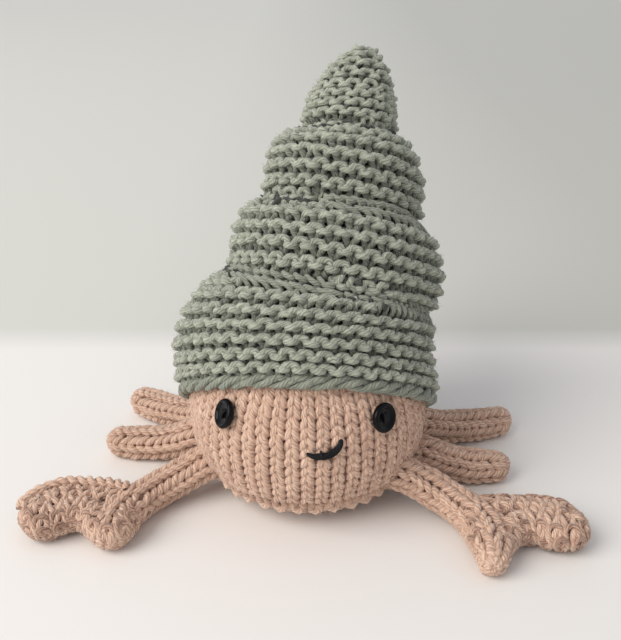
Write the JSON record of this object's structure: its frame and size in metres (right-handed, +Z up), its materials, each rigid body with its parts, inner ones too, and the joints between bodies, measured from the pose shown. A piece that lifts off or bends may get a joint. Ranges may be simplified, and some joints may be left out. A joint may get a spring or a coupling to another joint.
{
  "type": "hand-knitted hermit crab toy",
  "caption": "Knitted and stuffed toy crab under a tall spiral shell of ridged knitting, with cord legs, claws, button eyes and a stitched smile.",
  "frame": {"origin": "centre of the flat underside of the body, on the table", "axes": "+Z up; the crab faces -Y; +X is to the right as one looks at its face"},
  "size_m": [0.1864, 0.1243, 0.1441],
  "materials": {
    "peach_knit": "soft plied worsted yarn, peach, knitted in smooth stocking stitch",
    "shell_knit": "soft plied worsted yarn, grey-green, knitted in ridged garter stitch",
    "black_button": "polished black plastic",
    "black_thread": "matt black sewing yarn"
  },
  "bodies": {
    "root": {"body": "peach_knit", "shell": "shell_knit", "leg_left_rear": "peach_knit", "leg_left_mid": "peach_knit", "leg_right_mid": "peach_knit", "leg_right_rear": "peach_knit", "arm_left": "peach_knit", "arm_right": "peach_knit", "claw_left": "peach_knit", "claw_right": "peach_knit", "eye_left": "black_button", "eye_right": "black_button", "eye_thread_left": "black_thread", "eye_thread_right": "black_thread", "smile": "black_thread", "smile_tack": "black_thread"}
  },
  "joints": []
}
